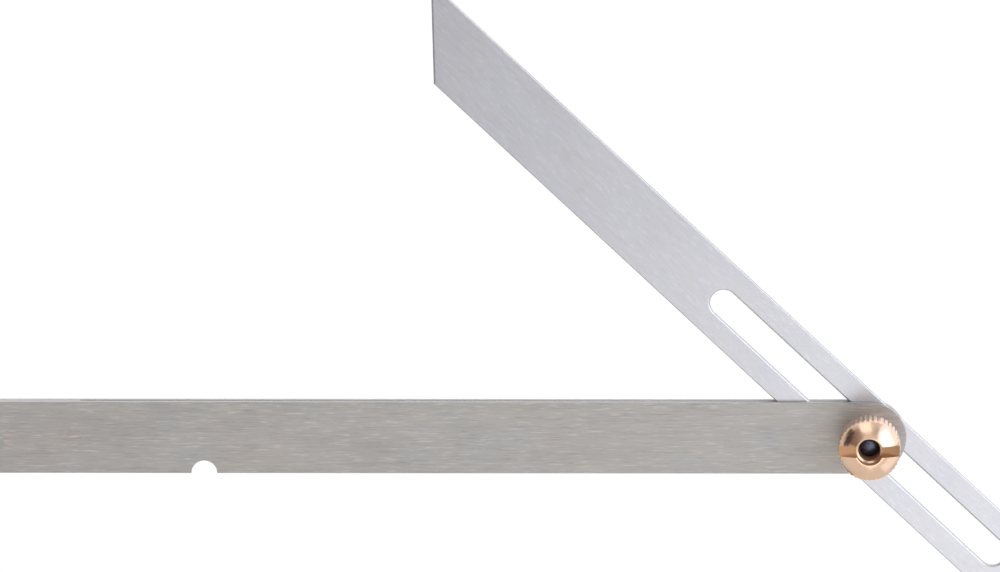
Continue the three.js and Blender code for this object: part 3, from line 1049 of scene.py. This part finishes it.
def set_sky(scene, studio):
    """The even white of the studio, shown without a film look."""
    world = bpy.data.worlds.new("white_studio")
    world.use_nodes = True
    sky = world.node_tree.nodes["Background"]
    sky.inputs["Color"].default_value = (1.0, 1.0, 1.0, 1.0)
    sky.inputs["Strength"].default_value = studio.sky_strength
    scene.world = world
    scene.view_settings.view_transform = "Standard"
    scene.view_settings.look = "None"


def set_camera(scene, studio):
    """The camera at the photograph's viewing angle."""
    target = Vector((studio.target_x, studio.target_y, 0.0))
    back = Vector((
        math.sin(studio.yaw) * math.cos(studio.tilt), math.sin(studio.tilt),
        math.cos(studio.yaw) * math.cos(studio.tilt),
    ))
    up = (Vector((0.0, 1.0, 0.0)) - back * back.y).normalized()
    side = up.cross(back)
    across = side * math.cos(studio.roll) + up * math.sin(studio.roll)
    upward = up * math.cos(studio.roll) - side * math.sin(studio.roll)
    place = target + back * studio.distance
    lens = bpy.data.cameras.new("camera")
    lens.sensor_width = SENSOR_WIDTH
    lens.lens = studio.focal_pixels / PHOTO_WIDTH * SENSOR_WIDTH
    lens.clip_start = 0.1
    lens.clip_end = 100.0
    camera = bpy.data.objects.new("camera", lens)
    camera.matrix_world = Matrix((
        (across.x, upward.x, back.x, place.x),
        (across.y, upward.y, back.y, place.y),
        (across.z, upward.z, back.z, place.z),
        (0.0, 0.0, 0.0, 1.0),
    ))
    scene.collection.objects.link(camera)
    scene.camera = camera


class BEVEL_OT_stage(bpy.types.Operator):
    """Make the floor, the white studio, the lights and the camera"""

    bl_idname = "sliding_bevel.stage"
    bl_label = "Stage"

    def execute(self, context):
        studio = context.scene.bevel_studio
        lay_floor(studio)
        place_cards()
        set_sky(context.scene, studio)
        set_camera(context.scene, studio)
        return {"FINISHED"}


class BEVEL_PT_panel(bpy.types.Panel):
    """Lists the pieces of the sliding bevel and their sizes"""

    bl_idname = "BEVEL_PT_panel"
    bl_label = "Sliding bevel"
    bl_space_type = "VIEW_3D"
    bl_region_type = "UI"
    bl_category = "Bevel"

    def draw(self, context):
        for operator in OPERATORS:
            self.layout.operator(operator.bl_idname)
        for group in SETTINGS:
            settings = getattr(context.scene, group)
            column = self.layout.column()
            for key in settings.bl_rna.properties.keys():
                if key not in ("rna_type", "name"):
                    column.prop(settings, key)


SETTINGS = {
    "bevel_stock": StockSettings,
    "bevel_blade": BladeSettings,
    "bevel_nut": NutSettings,
    "bevel_studio": StudioSettings,
}
OPERATORS = (
    BEVEL_OT_stage, BEVEL_OT_cheeks, BEVEL_OT_tail, BEVEL_OT_blade,
    BEVEL_OT_screw, BEVEL_OT_washer, BEVEL_OT_lock_nut,
)


def register():
    for cls in (*SETTINGS.values(), *OPERATORS, BEVEL_PT_panel):
        bpy.utils.register_class(cls)
    for name, cls in SETTINGS.items():
        setattr(bpy.types.Scene, name, bpy.props.PointerProperty(type=cls))


def unregister():
    for name in SETTINGS:
        delattr(bpy.types.Scene, name)
    for cls in reversed((*SETTINGS.values(), *OPERATORS, BEVEL_PT_panel)):
        bpy.utils.unregister_class(cls)


def main():
    register()
    bpy.ops.sliding_bevel.stage()
    bpy.ops.sliding_bevel.cheeks()
    bpy.ops.sliding_bevel.tail()
    bpy.ops.sliding_bevel.blade()
    bpy.ops.sliding_bevel.screw()
    bpy.ops.sliding_bevel.washer()
    bpy.ops.sliding_bevel.lock_nut()


if __name__ == "__main__":
    main()
